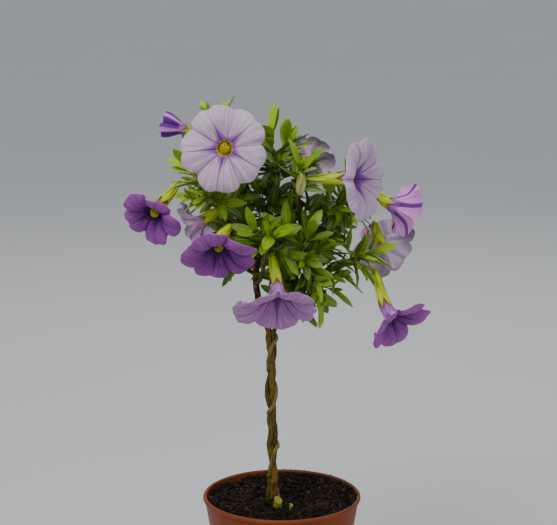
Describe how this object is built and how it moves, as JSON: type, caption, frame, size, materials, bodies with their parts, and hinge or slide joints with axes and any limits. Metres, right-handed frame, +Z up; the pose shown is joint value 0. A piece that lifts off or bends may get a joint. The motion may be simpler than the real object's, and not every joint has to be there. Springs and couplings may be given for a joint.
{
  "type": "flowering standard in a pot",
  "caption": "Small flowering standard in a nursery pot: plaited bare stems carry an open crown of folded leaves and lilac trumpet flowers.",
  "frame": {"origin": "centre of the pot's flat underside", "axes": "+Z up along the plaited stems, -Y towards the front of the plant, +X to its right seen from the front"},
  "size_m": [0.1946, 0.1661, 0.359],
  "materials": {
    "pot": "thin terracotta-coloured plastic, slightly dusty",
    "soil": "damp peat-based potting soil with fine bark and fibres",
    "bark": "ridged brown bark with leaf scars",
    "young_bark": "green-brown young wood",
    "cut_stem": "yellow-green bark with a pale cut face",
    "foliage": "soft green leaves, slightly glossy, pale along the midrib",
    "petals": "thin matt lilac petals with dark violet veins"
  },
  "bodies": {
    "root": {"bough_back": "young_bark", "bough_back_left": "young_bark", "bough_back_right": "young_bark", "bough_back_top": "young_bark", "bough_front": "young_bark", "bough_inner": "young_bark", "bough_left": "young_bark", "bough_low": "young_bark", "bough_right": "young_bark", "bough_top": "young_bark", "bough_top_left": "young_bark", "bough_top_right": "young_bark", "bough_upper_right": "young_bark", "foliage_back": "foliage", "foliage_back_left": "foliage", "foliage_back_right": "foliage", "foliage_back_top": "foliage", "foliage_front": "foliage", "foliage_inner": "foliage", "foliage_left": "foliage", "foliage_low": "foliage", "foliage_right": "foliage", "foliage_top": "foliage", "foliage_top_left": "foliage", "foliage_top_right": "foliage", "foliage_upper_right": "foliage", "pot": "pot", "soil": "soil", "stem_main": "bark", "stem_second": "bark", "stem_third": "bark", "stub_large": "cut_stem", "stub_small": "cut_stem"}
  },
  "joints": []
}
